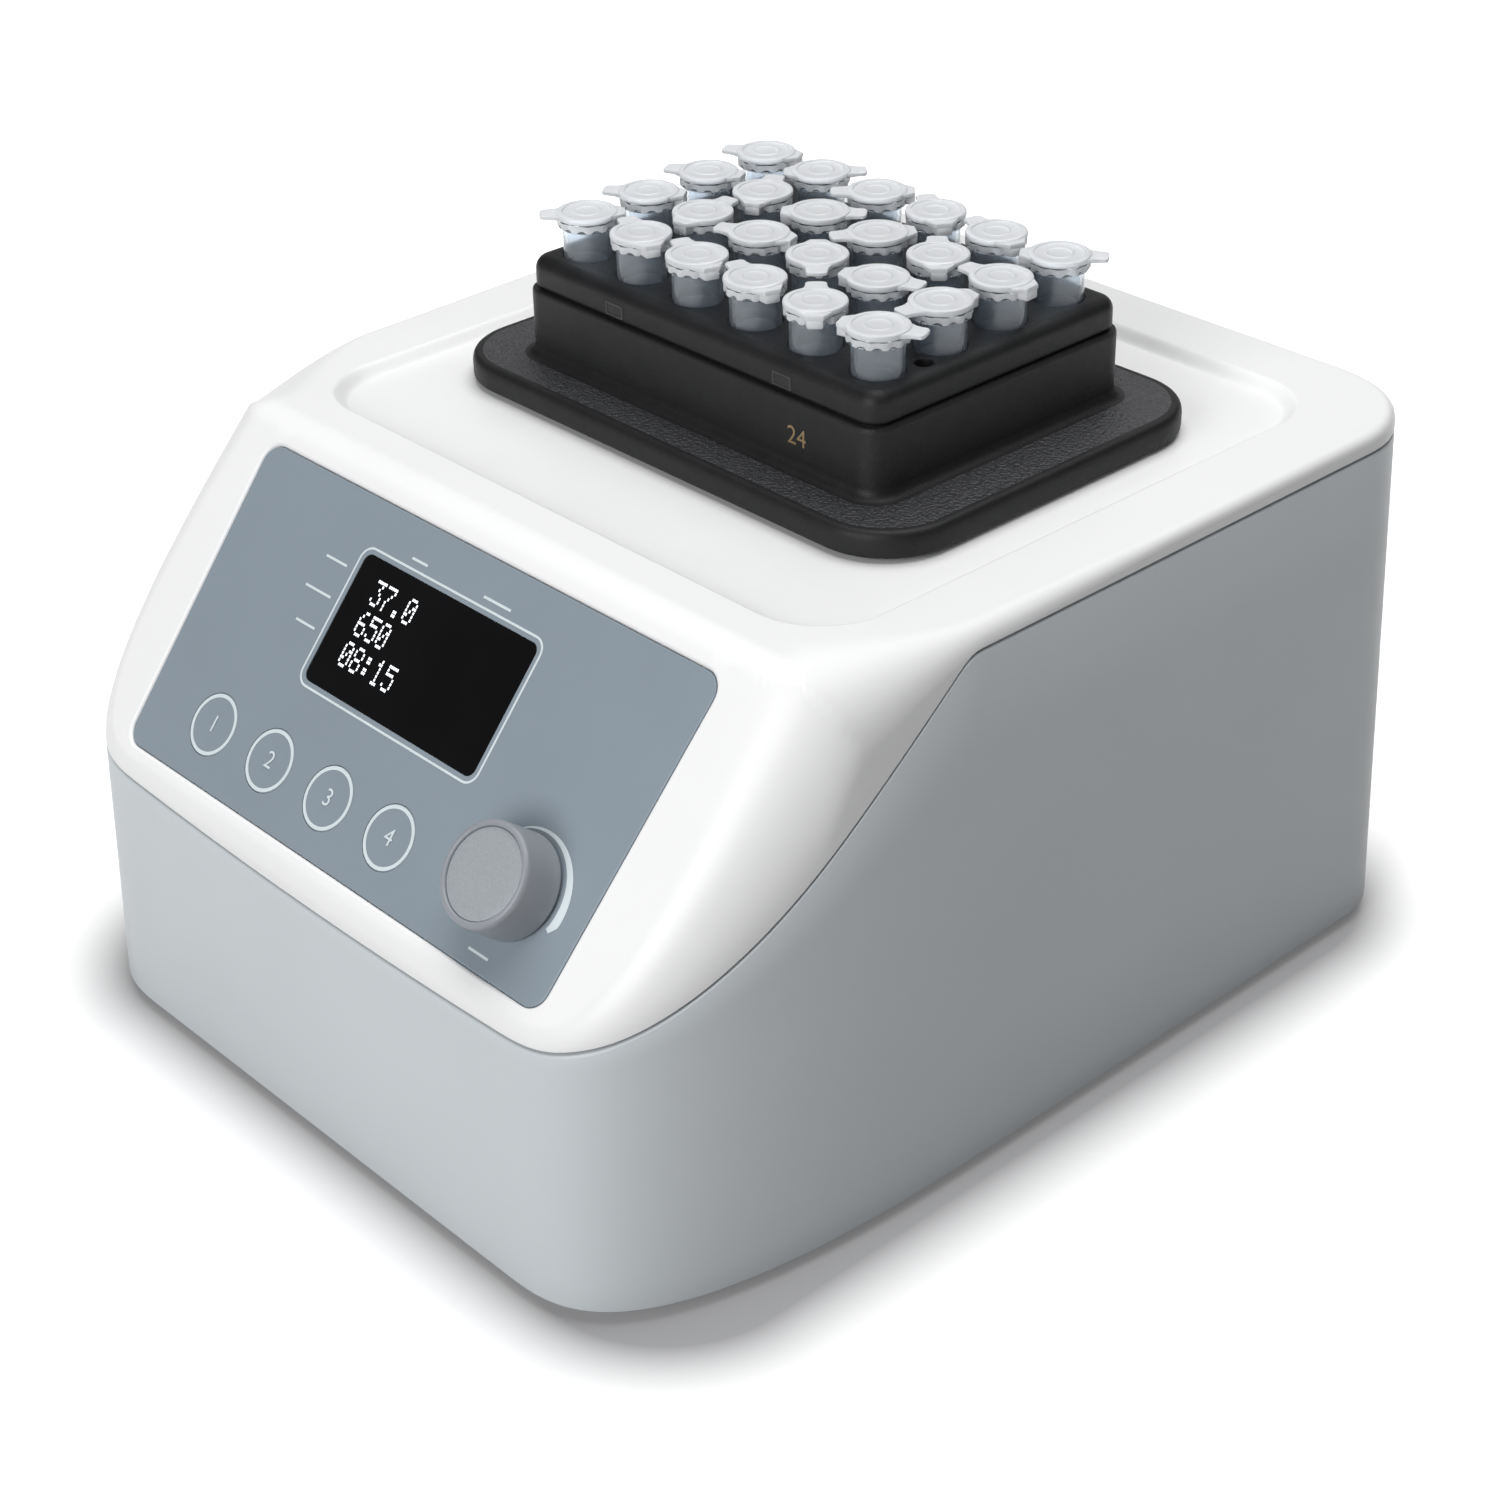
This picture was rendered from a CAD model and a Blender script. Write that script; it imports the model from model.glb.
import math
from math import cos, pi, radians, sin, tan

import bpy
import numpy as np
from mathutils import Matrix, Vector
from mathutils.geometry import delaunay_2d_cdt
from numpy.linalg import norm


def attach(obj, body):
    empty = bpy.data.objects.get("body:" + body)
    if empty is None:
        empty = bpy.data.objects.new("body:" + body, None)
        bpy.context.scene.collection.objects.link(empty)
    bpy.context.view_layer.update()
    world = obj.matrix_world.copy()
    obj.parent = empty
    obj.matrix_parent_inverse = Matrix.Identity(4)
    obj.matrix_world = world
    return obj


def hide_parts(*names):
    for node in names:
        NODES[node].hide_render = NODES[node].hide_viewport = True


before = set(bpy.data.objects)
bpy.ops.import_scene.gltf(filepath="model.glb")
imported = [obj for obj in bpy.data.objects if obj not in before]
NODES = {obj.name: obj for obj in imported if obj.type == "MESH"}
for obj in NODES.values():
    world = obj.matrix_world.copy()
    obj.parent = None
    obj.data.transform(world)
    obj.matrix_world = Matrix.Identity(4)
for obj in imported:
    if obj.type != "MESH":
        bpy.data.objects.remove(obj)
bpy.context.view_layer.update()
scene = bpy.context.scene
MM = 0.001  # lengths here are millimetres, Blender's are metres

def new_object(name, data):
    """an object that holds data, linked to the scene"""
    made = bpy.data.objects.new(name, data)
    scene.collection.objects.link(made)
    return made

# -------- camera, fitted to the photograph
TURN, TILT, ROLL = radians(47.60), radians(31.32), radians(-1.12)
CAMERA_PLACE = Vector((408.47, -367.11, 380.42)) * MM
LENS, SENSOR = 68.68, 36
CLIP_NEAR, CLIP_FAR = 0.05, 20

def make_camera():
    forward = Vector((-sin(TURN) * cos(TILT), cos(TURN) * cos(TILT), -sin(TILT)))
    level_right = forward.cross(Vector((0, 0, 1))).normalized()
    level_up = level_right.cross(forward)
    right = level_right * cos(ROLL) + level_up * sin(ROLL)
    up = level_up * cos(ROLL) - level_right * sin(ROLL)
    data = bpy.data.cameras.new("camera")
    data.lens, data.sensor_width, data.sensor_fit = LENS, SENSOR, "HORIZONTAL"
    data.clip_start, data.clip_end = CLIP_NEAR, CLIP_FAR
    camera = new_object("camera", data)
    pose = Matrix((right, up, -forward)).transposed().to_4x4()
    pose.translation = CAMERA_PLACE
    camera.matrix_world = pose
    scene.camera = camera

make_camera()
scene.view_settings.view_transform = "Standard"

# -------- materials
def add_node(tree, kind, values=None, **settings):
    """a new shader node with its sockets' values, by name or number, and its own settings"""
    made = tree.nodes.new("ShaderNode" + kind)
    for key, value in settings.items():
        setattr(made, key, value)
    for socket, value in (values or {}).items():
        made.inputs[socket].default_value = value
    return made

def material(name, color, rough, noise, bump=None, metallic=0.0, spec=0.5, transmission=0.0, ior=1.45,
        glow=None, stretch=(1, 1, 1)):
    """noise is the share that the colour varies by, the pattern's scale and how far the roughness varies;
    bump is strength, scale and distance; glow is colour and strength; stretch is the pattern's, by axis"""
    vary, vary_scale, rough_vary = noise
    mat = bpy.data.materials.new(name)
    mat.use_nodes = True
    tree = mat.node_tree
    link = tree.links.new
    surface = tree.nodes["Principled BSDF"]
    sockets = {"Metallic": metallic, "Specular IOR Level": spec, "Transmission Weight": transmission,
        "IOR": ior}
    if glow:
        sockets["Emission Color"], sockets["Emission Strength"] = (*glow[0], 1), glow[1]
    for socket, value in sockets.items():
        surface.inputs[socket].default_value = value
    place = add_node(tree, "Mapping", {"Scale": stretch})
    link(add_node(tree, "TexCoord").outputs["Object"], place.inputs["Vector"])

    def pattern(scale, detail):
        made = add_node(tree, "TexNoise", {"Scale": scale, "Detail": detail})
        link(place.outputs["Vector"], made.inputs["Vector"])
        return made.outputs["Fac"]

    spread = add_node(tree, "MapRange", {"From Min": 0.3, "From Max": 0.7})
    link(pattern(vary_scale, 4), spread.inputs["Value"])
    darker = [max(0, c * (1 - vary)) for c in color]
    lighter = [min(1, c * (1 + vary)) for c in color]
    tint = add_node(tree, "Mix", {"A": (*darker, 1), "B": (*lighter, 1)}, data_type="RGBA")
    link(spread.outputs["Result"], tint.inputs["Factor"])
    link(tint.outputs["Result"], surface.inputs["Base Color"])
    rougher, smoother = min(1, rough + rough_vary), max(0.02, rough - rough_vary)
    roughness = add_node(tree, "MapRange", {"To Min": smoother, "To Max": rougher})
    link(pattern(vary_scale * 4, 3), roughness.inputs["Value"])
    link(roughness.outputs["Result"], surface.inputs["Roughness"])
    if bump:
        strength, scale, distance = bump
        relief = add_node(tree, "Bump", {"Strength": strength, "Distance": distance})
        link(pattern(scale, 3), relief.inputs["Height"])
        link(relief.outputs["Normal"], surface.inputs["Normal"])
    return mat

WHITE = material("cover_white", (0.84, 0.842, 0.845), 0.36, (0.012, 25, 0.04),
    bump=(0.10, 1800, 0.00005))
GREY = material("shell_grey", (0.60, 0.635, 0.66), 0.42, (0.018, 22, 0.05),
    bump=(0.14, 2200, 0.00005))
GAP = material("gap_dark", (0.05, 0.052, 0.055), 0.7, (0.1, 200, 0.1))
OVERLAY = material("overlay_film", (0.235, 0.28, 0.32), 0.42, (0.02, 30, 0.05),
    bump=(0.10, 3000, 0.00004), spec=0.35)
PRINT = material("print_pale", (0.62, 0.69, 0.72), 0.4, (0.03, 200, 0.05))
SCREEN = material("window_black", (0.005, 0.005, 0.0055), 0.09, (0.2, 40, 0.03), spec=0.3)
DOT = material("dot_white", (0.9, 0.93, 0.95), 0.5, (0.02, 400, 0.05),
    glow=((0.9, 0.95, 1.0), 0.75))
KNOB = material("knob_grey", (0.27, 0.285, 0.31), 0.38, (0.03, 80, 0.05),
    bump=(0.12, 2600, 0.00005))
DISC = material("knob_disc", (0.37, 0.395, 0.42), 0.42, (0.08, 2600, 0.08),
    bump=(0.5, 4200, 0.0001), metallic=0.2)
BLACK = material("block_black", (0.012, 0.0122, 0.013), 0.46, (0.12, 220, 0.09),
    bump=(0.6, 3200, 0.00014), spec=0.27)
GRAIN = material("flange_grain", (0.033, 0.0335, 0.037), 0.38, (0.25, 700, 0.10),
    bump=(1.0, 1150, 0.0008), spec=0.6)
EDGE = material("window_edge", (0.026, 0.026, 0.029), 0.34, (0.1, 300, 0.06),
    bump=(0.2, 3000, 0.00004))
HOLE = material("well_dark", (0.006, 0.006, 0.007), 0.5, (0.2, 200, 0.08),
    bump=(0.3, 3000, 0.0001))
GOLD = material("gold_print", (0.33, 0.235, 0.13), 0.35, (0.06, 500, 0.05), metallic=0.6)
LID = material("lid_frosted", (0.83, 0.845, 0.865), 0.42, (0.02, 300, 0.06),
    bump=(0.12, 2600, 0.00006), transmission=0.30)
VESSEL = material("vessel_clear", (0.80, 0.865, 0.93), 0.16, (0.02, 300, 0.05),
    bump=(0.05, 1500, 0.00006), transmission=0.93, ior=1.42)
RUBBER = material("rubber", (0.022, 0.022, 0.022), 0.75, (0.2, 300, 0.1),
    bump=(0.4, 2500, 0.0001))
STEEL = material("plate_steel", (0.52, 0.53, 0.54), 0.36, (0.08, 60, 0.1),
    bump=(0.25, 900, 0.00005), metallic=0.9, stretch=(1, 14, 1))
TURNED = material("turned_steel", (0.42, 0.42, 0.43), 0.3, (0.1, 200, 0.1),
    bump=(0.25, 2500, 0.00004), metallic=1.0)
ALU = material("cast_aluminium", (0.5, 0.5, 0.51), 0.42, (0.06, 150, 0.08),
    bump=(0.3, 1500, 0.00008), metallic=0.9)
BOARD = material("board_green", (0.02, 0.13, 0.06), 0.4, (0.2, 400, 0.1),
    bump=(0.3, 1200, 0.0001))
INLET = material("inlet_black", (0.02, 0.02, 0.021), 0.38, (0.15, 250, 0.08),
    bump=(0.25, 2600, 0.00006))
BRASS = material("blade_metal", (0.62, 0.56, 0.42), 0.25, (0.06, 300, 0.06),
    bump=(0.1, 2000, 0.00003), metallic=1.0)
IVORY = material("rotor_ivory", (0.62, 0.58, 0.47), 0.45, (0.05, 200, 0.08),
    bump=(0.1, 2000, 0.00005))

NODE_MATERIALS = {
    STEEL: "bottom_plate chassis_plate carriage_plate chassis_standoffs heater_posts assembly_screws",
    TURNED: "drive_motor drive_shaft eccentric_hub drive_bearing idler_left idler_right encoder_body"
        " encoder_shaft",
    ALU: "block_core heater_plate",
    BOARD: "main_board power_supply control_board display_module",
    INLET: "power_inlet power_rocker",
    RUBBER: "rubber_feet",
    IVORY: "encoder_rotor",
    GREY: "base_housing",
    WHITE: "top_cover",
}
for mat, names in NODE_MATERIALS.items():
    for name in names.split():
        NODES[name].data.materials.clear()
        NODES[name].data.materials.append(mat)

# -------- mesh helpers
class Mesh:
    """points in millimetres, with faces, a material number per face and, where given, a normal per point"""

    def __init__(self):
        self.points, self.faces, self.mats, self.normals = [], [], [], []

    def add(self, points, normals=None):
        first = len(self.points)
        self.points += [tuple(map(float, p)) for p in points]
        self.normals += [None] * len(points) if normals is None else [tuple(map(float, q)) for q in normals]
        return list(range(first, len(self.points)))

    def face(self, ids, mat=0):
        self.faces.append(tuple(ids))
        self.mats.append(mat)

    def triangles(self, triples, ids, mat=0):
        for triple in triples:
            self.face([ids[i] for i in triple], mat)

    def bridge(self, a, b, mat=0, closed=True):
        """quads between two rings, or two open lines, of the same length"""
        for i in range(len(a) if closed else len(a) - 1):
            j = (i + 1) % len(a)
            self.face((a[i], a[j], b[j], b[i]), mat)

    def loft(self, rings, mat=0, mats=None):
        """rings joined in order; mats gives each band its own material"""
        ids = [self.add(ring) for ring in rings]
        for k in range(len(ids) - 1):
            self.bridge(ids[k], ids[k + 1], mats[k] if mats else mat)
        return ids

def build(name, mesh, mats, body, replaces=(), angle=35, normals=False):
    """a piece from a Mesh; edges over angle degrees are sharp, unless the mesh brings its own normals"""
    data = bpy.data.meshes.new(name)
    data.from_pydata([tuple(c * MM for c in p) for p in mesh.points], [], mesh.faces)
    for mat in mats:
        data.materials.append(mat)
    data.polygons.foreach_set("material_index", mesh.mats)
    data.polygons.foreach_set("use_smooth", [True] * len(data.polygons))
    data.validate(clean_customdata=False)
    data.update()
    if normals:
        data.normals_split_custom_set_from_vertices(mesh.normals)
    else:
        data.set_sharp_from_angle(angle=radians(angle))
    piece = new_object(name, data)
    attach(piece, body)
    if replaces:
        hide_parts(*replaces)
    return piece

def lettering(name, text, size, steps, place, mat, body):
    """flat characters of the given size, with steps per curve, lying where the matrix place puts them"""
    curve = bpy.data.curves.new(name, "FONT")
    curve.body, curve.size, curve.resolution_u = text, size * MM, steps
    curve.align_x, curve.align_y = "CENTER", "CENTER"
    source = new_object(name + "_src", curve)
    bpy.context.view_layer.update()
    data = bpy.data.meshes.new_from_object(source.evaluated_get(bpy.context.evaluated_depsgraph_get()))
    bpy.data.objects.remove(source)
    data.name = name
    data.transform(place)
    data.materials.clear()
    data.materials.append(mat)
    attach(new_object(name, data), body)

def unit(rows):
    return rows / norm(rows, axis=1, keepdims=True)

def inside(points, outline):
    """which points lie inside a closed outline"""
    x, y = np.asarray(points).T
    outline = np.asarray(outline)
    found = np.zeros(len(x), bool)
    for (x0, y0), (x1, y1) in zip(outline, np.roll(outline, -1, 0)):
        if y0 != y1:
            crosses = (y0 > y) != (y1 > y)
            found ^= crosses & (x < (x1 - x0) * (y - y0) / (y1 - y0) + x0)
    return found

def fill(outer, holes=(), lines=(), extra=()):
    """points and triangles of the region inside outer and outside holes; lines are loops kept as edges and
    extra are loose points that are kept"""
    points, edges = [], []
    for loop in [outer, *holes, *lines]:
        first, count = len(points), len(loop)
        points += [Vector(p) for p in loop]
        edges += [(first + k, first + (k + 1) % count) for k in range(count)]
    points += [Vector(p) for p in extra]
    found, _, triples, *_ = delaunay_2d_cdt(points, edges, [], 0, 1e-5)
    plan = np.array([(p.x, p.y) for p in found])
    faces = np.array([list(t) for t in triples])
    middles = plan[faces].mean(1)
    keep = inside(middles, outer)
    for hole in holes:
        keep &= ~inside(middles, hole)
    faces = faces[keep]
    areas = np.cross(plan[faces[:, 1]] - plan[faces[:, 0]], plan[faces[:, 2]] - plan[faces[:, 0]])
    faces[areas < 0] = faces[areas < 0][:, ::-1]
    used = np.unique(faces)
    number = -np.ones(len(plan), int)
    number[used] = np.arange(len(used))
    return plan[used], number[faces]

def circle(r, count, centre=(0, 0)):
    turns = [2 * pi * k / count for k in range(count)]
    return [(centre[0] + r * cos(a), centre[1] + r * sin(a)) for a in turns]

def round_poly(corners, r, count):
    """a convex outline, anticlockwise, with every corner rounded by count steps"""
    out = []
    for i, corner in enumerate(corners):
        p = np.array(corner, float)
        before = np.array(corners[i - 1], float) - p
        after = np.array(corners[(i + 1) % len(corners)], float) - p
        u, v = before / norm(before), after / norm(after)
        half = math.acos(float(np.dot(u, v))) / 2
        centre = p + (u + v) / norm(u + v) * r / sin(half)
        start, end = p + u * r / tan(half) - centre, p + v * r / tan(half) - centre
        from_angle = math.atan2(start[1], start[0])
        turn = (math.atan2(end[1], end[0]) - from_angle + pi) % (2 * pi) - pi
        angles = [from_angle + turn * k / count for k in range(count + 1)]
        out += [(centre[0] + r * cos(a), centre[1] + r * sin(a)) for a in angles]
    return out

def round_rect(w, d, r, count, centre=(0, 0)):
    corners = [(-w / 2, -d / 2), (w / 2, -d / 2), (w / 2, d / 2), (-w / 2, d / 2)]
    return [(x + centre[0], y + centre[1]) for x, y in round_poly(corners, r, count)]

def level(outline, z):
    """an outline in plan, at one height"""
    return [(x, y, z) for x, y in outline]

def bisect(low, high, is_past, steps):
    """per element, the value between low and high where is_past turns true"""
    for _ in range(steps):
        middle = (low + high) / 2
        past = is_past(middle)
        low, high = np.where(past, low, middle), np.where(past, middle, high)
    return (low + high) / 2

def smooth_step(t):
    return t * t * (3 - 2 * t)

# -------- the housing's shape
WIDTH, DEPTH, TOP, FOOT = 201.5, 235.0, 125.5, 3.0
FRONT_Y, BACK_Y = -DEPTH / 2, DEPTH / 2
SIDE_LEAN, FRONT_LEAN = tan(radians(1.4)), tan(radians(2.6))
CORNER_W, CORNER_D = 39.7, 111.6  # the front corner, a quarter of a superellipse
POWER = 2 / 3
CORNER_X, CORNER_Y = WIDTH / 2 - CORNER_W, FRONT_Y + CORNER_D
BACK_R = 18.0
BACK_GROWTH = 6 / (TOP - FOOT)  # the back corners' radius grows by this per mm of height
BACK_END_GAP = 0.8  # the back wall's last sample stays this far from the corner
SLOPE = radians(49.4)
PANEL_DROP, PANEL_BACK = 58.34, 5.96  # the control face's lower edge, from the top and the front
PANEL_Y, PANEL_Z = FRONT_Y + PANEL_BACK, TOP - PANEL_DROP
BROW_R = 2.6  # rounding between the control face and the flat top
BACK_EDGE_R = 2.2  # rounding of the top edge at the back
INLET_X, INLET_Z = (17.8, 78.2), (16.8, 45.2)  # the opening for the inlet in the back wall
BACK_WALL_X = (INLET_X[1], 66, 54, 42, 30, INLET_X[0], 9, 0)

def outline_samples():
    """the wall at the foot from the front's middle to the back's middle and mirrored; per sample its point,
    its move per mm of inset, its outward normal, its move per mm of height, and whether it ends the back"""
    front_x = np.linspace(0, CORNER_X, 8)[:-1]
    rows = [((x, FRONT_Y), (0, 1), (0, -1), (0, FRONT_LEAN), False) for x in front_x]
    fine = np.linspace(0, pi / 2, 4001)
    steps_x = np.diff(CORNER_W * np.sin(fine) ** POWER)
    steps_y = np.diff(CORNER_D * np.cos(fine) ** POWER)
    along = np.concatenate([[0], np.cumsum(np.hypot(steps_x, steps_y))])
    for distance in np.linspace(0, along[-1], 76):
        angle = np.interp(distance, along, fine)
        a, b = sin(angle) ** POWER, max(0.0, cos(angle)) ** POWER
        normal = np.array([a * a / CORNER_W, -b * b / CORNER_D])
        rows.append(((CORNER_X + CORNER_W * a, CORNER_Y - CORNER_D * b), (-a, b),
            normal / norm(normal), (-SIDE_LEAN * a, FRONT_LEAN * b), False))
    for y in np.linspace(CORNER_Y, BACK_Y - BACK_R, 14)[1:-1]:
        rows.append(((WIDTH / 2, y), (-1, 0), (1, 0), (-SIDE_LEAN, 0), False))
    for turn in np.linspace(0, pi / 2, 11):
        a, b = cos(turn), sin(turn)
        rows.append(((WIDTH / 2 - BACK_R + BACK_R * a, BACK_Y - BACK_R + BACK_R * b), (-a, -b), (a, b),
            (-SIDE_LEAN - BACK_GROWTH + BACK_GROWTH * a, -BACK_GROWTH + BACK_GROWTH * b), False))
    rows += [((x, BACK_Y), (0, -1), (0, 1), (0, 0), x == INLET_X[1]) for x in BACK_WALL_X]
    *vectors, ends = (np.array(column) for column in zip(*rows))
    mirrored, flip = slice(len(rows) - 2, 0, -1), np.array([-1, 1])
    return [np.vstack([v, v[mirrored] * flip]) for v in vectors] + [np.concatenate([ends, ends[mirrored]])]

FOOT_PLAN, INSETS, NORMALS, RISES, BACK_ENDS = outline_samples()
COUNT = len(FOOT_PLAN)
ALL = np.arange(COUNT)
GAIN = -(INSETS * NORMALS).sum(1)  # distance from the wall per mm of inset

def spot(sample, z, inset):
    """the wall's plan point at a sample and height, moved in by inset"""
    z, inset = np.asarray(z, float), np.asarray(inset, float)
    point = FOOT_PLAN[sample] + (z - FOOT)[..., None] * RISES[sample] + inset[..., None] * INSETS[sample]
    end = WIDTH / 2 - BACK_R - (z - FOOT) * (SIDE_LEAN + BACK_GROWTH) - BACK_END_GAP
    point[..., 0] = np.where(BACK_ENDS[sample], np.clip(point[..., 0], -end, end), point[..., 0])
    return point

def wall_ring(inset, z):
    """all samples at one height, or at a height each"""
    z = np.broadcast_to(np.asarray(z, float), (COUNT,))
    return np.column_stack([spot(ALL, z, inset), z])

def soft_max(a, b, r):
    """the larger of two signed distances, with a rounding of radius r where they meet"""
    p, q = a + r, b + r
    return np.minimum(np.maximum(p, q), 0) + np.hypot(np.maximum(p, 0), np.maximum(q, 0)) - r

def roof(y, z):
    """signed distance to the flat top and the control face"""
    face = -(y - PANEL_Y) * sin(SLOPE) + (z - PANEL_Z) * cos(SLOPE)
    return soft_max(z - TOP, face, BROW_R)

def roof_height(y):
    """height of the top and the control face away from the walls"""
    y = np.asarray(y, float)
    return bisect(np.full(y.shape, 20.0), np.full(y.shape, 140.0), lambda z: roof(y, z) > 0, 48)

# the parting line: level at the back, a straight slope, then an arc down to the front
BEND_Y, LEVEL_Z = FRONT_Y + 89.9, TOP - 4.1
PART_SLOPE, STRAIGHT_RUN = radians(39.8), 31.9
ARC_START = np.array([BEND_Y - STRAIGHT_RUN, LEVEL_Z - STRAIGHT_RUN * tan(PART_SLOPE)])
ARC_R = 200.0
ARC_CENTRE = ARC_START + ARC_R * np.array([-sin(PART_SLOPE), cos(PART_SLOPE)])
BEND_SOFT = 2.2  # how far the bend at the level stretch is softened
DIP, DIP_HALF_W = 2.8, 80  # the line sags by this at the middle of the front
DIP_REACH, DIP_FADE = 16, 12  # the sag's reach behind the front, and its fading stretch

def parting(x, y):
    x, y = np.asarray(x, float), np.asarray(y, float)
    line = LEVEL_Z + (y - BEND_Y) * tan(PART_SLOPE)
    arc_y = np.minimum(y, ARC_START[0]) - ARC_CENTRE[0]
    arc = ARC_CENTRE[1] - np.sqrt(np.maximum(ARC_R ** 2 - arc_y ** 2, 0))
    z = np.where(y > ARC_START[0], line, arc)
    h = np.clip(0.5 + 0.5 * (z - LEVEL_Z) / BEND_SOFT, 0, 1)
    z = z * (1 - h) + LEVEL_Z * h - BEND_SOFT * h * (1 - h)
    front = np.clip((FRONT_Y + DIP_REACH - y) / DIP_FADE, 0, 1)
    return z - DIP * front * np.clip(1 - (np.abs(x) / DIP_HALF_W) ** 2, 0, 1)

def wall_at_parting(above):
    """the wall's ring along the parting line, moved up by above"""
    z = np.full(COUNT, 80.0)
    for _ in range(12):
        point = spot(ALL, z, 0.0)
        z = parting(point[:, 0], point[:, 1]) + above
    return wall_ring(0.0, z)

# -------- places on the control face
def panel(x, h, out=0.0):
    """a point on the control face: x across, h up the slope, out of it along its normal"""
    return (x, PANEL_Y + h * cos(SLOPE) - out * sin(SLOPE),
        PANEL_Z + h * sin(SLOPE) + out * cos(SLOPE))

OVERLAY_H = PANEL_DROP / sin(SLOPE) - 6.24
LOW_HALF, TOP_HALF = WIDTH / 2 - 31.95, WIDTH / 2 - 29.2
OVERLAY_R, OVERLAY_GAP = 4.4, 0.15
FILM_FACE = -0.3  # the overlay lies this much below the cover's face
FILM = 1.0  # its thickness
POCKET_RIM, POCKET_FLOOR = 1.0, -1.3  # the pocket's rounded rim, and its floor
WINDOW, WINDOW_W, WINDOW_H, WINDOW_R = (-1.1, 45.2), 55.4, 29.0, 2
KEYS = [(-46.3 + 20.2 * k, 12.6) for k in range(4)]
KEY_HOLE_R, KEY_STEM_HOLE_R = 6.98, 2.3
DIAL, SHAFT_HOLE_R = (50.5, 18.1), 3.8
PRINT_OUT = FILM_FACE + 0.05  # printing stands this far out, clear of the film

def overlay_outline(grow):
    """the overlay's outline in panel coordinates, grown outward"""
    low, top = LOW_HALF + grow, TOP_HALF + grow
    corners = [(-low, -grow), (low, -grow), (top, OVERLAY_H + grow), (-top, OVERLAY_H + grow)]
    return round_poly(corners, max(0.4, OVERLAY_R + grow), 8)

def on_panel(outline, out):
    return [panel(x, h, out) for x, h in outline]

# -------- top cover
PART_RING = wall_at_parting(0)
EDGE_R_FRONT, EDGE_R_SIDE = 1.8, 20  # top edge rounding at the front, and what the sides add
EDGE_R_LEAST, ROOM_SHARE = 1.6, 0.96  # it takes this share of the room above the parting line
NEAR_Y, NEAR_FADE = -20, 60  # beside the control face, from this y and over this stretch
FLAT_R, FLAT_R_NEAR = 3.9, 18
BACK_R_Y, BACK_R_RISE, BACK_R_NEAR = 28, 0.04, 40

def edge_radii():
    """rounding between wall and roof, per sample: wide beside the control face, small at the back"""
    y, z = PART_RING[:, 1], PART_RING[:, 2]
    over_line = ((y - PANEL_Y) * tan(SLOPE) + PANEL_Z - z) * cos(SLOPE)
    room = np.maximum(EDGE_R_LEAST, ROOM_SHARE * np.minimum(over_line, TOP - z))
    radii = np.minimum(EDGE_R_FRONT + EDGE_R_SIDE * np.clip(NORMALS[:, 0] ** 2, 0, 1) ** 1.5, room)
    for _ in range(6):
        radii = (np.roll(radii, 1) + 2 * radii + np.roll(radii, -1)) / 4
    near = np.clip((NEAR_Y - FOOT_PLAN[:, 1]) / NEAR_FADE, 0, 1)
    radii = np.minimum(radii, FLAT_R + FLAT_R_NEAR * smooth_step(near))
    forward = (BACK_R_Y - FOOT_PLAN[:, 1]).clip(0)
    return np.minimum(radii, BACK_EDGE_R + forward * BACK_R_RISE + BACK_R_NEAR * near)

# the rounding is sampled along rays, which start at a point inside it, one per sample
EDGE_R = edge_radii()
BAND_ROWS = 22
RAY_ANGLES, RAY_REACH = (-1.45, 0.6), 70.0  # where the first row's angle is looked for, and how far out
RAY_CLEAR, RAY_CLEAR_SIDE = 0.35, 1.2  # the start lies this much further in than the rounding
RAY_DROP, RAY_DROP_SHARE = 5.0, 0.62  # its depth under the roof, at least and as a share of its inset
RAY_RISE, TRIAL_Z = 1.0, 110.0  # its least height over the parting line, and a first guess of its height
RAY_INSET = EDGE_R / GAIN + RAY_CLEAR + RAY_CLEAR_SIDE * NORMALS[:, 0] ** 2
RAY_ROOF = np.minimum(roof_height(spot(ALL, np.full(COUNT, TRIAL_Z), RAY_INSET)[:, 1]), TOP)
RAY_Z = np.maximum(RAY_ROOF - np.maximum(RAY_DROP, RAY_INSET * RAY_DROP_SHARE), PART_RING[:, 2] + RAY_RISE)

def ray_hit(phi):
    """inset and height where rays from inside the rounding, at angle phi, leave the cover"""
    def along(r):
        return RAY_INSET[:, None] - r * np.cos(phi), RAY_Z[:, None] + r * np.sin(phi)

    def is_outside(r):
        inset, z = along(r)
        y = spot(ALL[:, None], z, inset)[..., 1]
        return soft_max(-inset * GAIN[:, None], roof(y, z), EDGE_R[:, None]) > 0

    return along(bisect(np.zeros_like(phi), np.full_like(phi, RAY_REACH), is_outside, 46))

def edge_band():
    """rows of points from the parting line, over the rounding, to the roof"""
    def is_above(phi):
        inset, z = ray_hit(phi)
        point = spot(ALL[:, None], z, inset)
        return z > parting(point[..., 0], point[..., 1])

    low, high = (np.full((COUNT, 1), angle) for angle in RAY_ANGLES)
    first = bisect(low, high, is_above, 40)
    inset, z = ray_hit(first + (pi / 2 - first) * np.linspace(0, 1, BAND_ROWS)[None, :])
    return np.concatenate([spot(ALL[:, None], z, inset), z[..., None]], 2)

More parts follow.
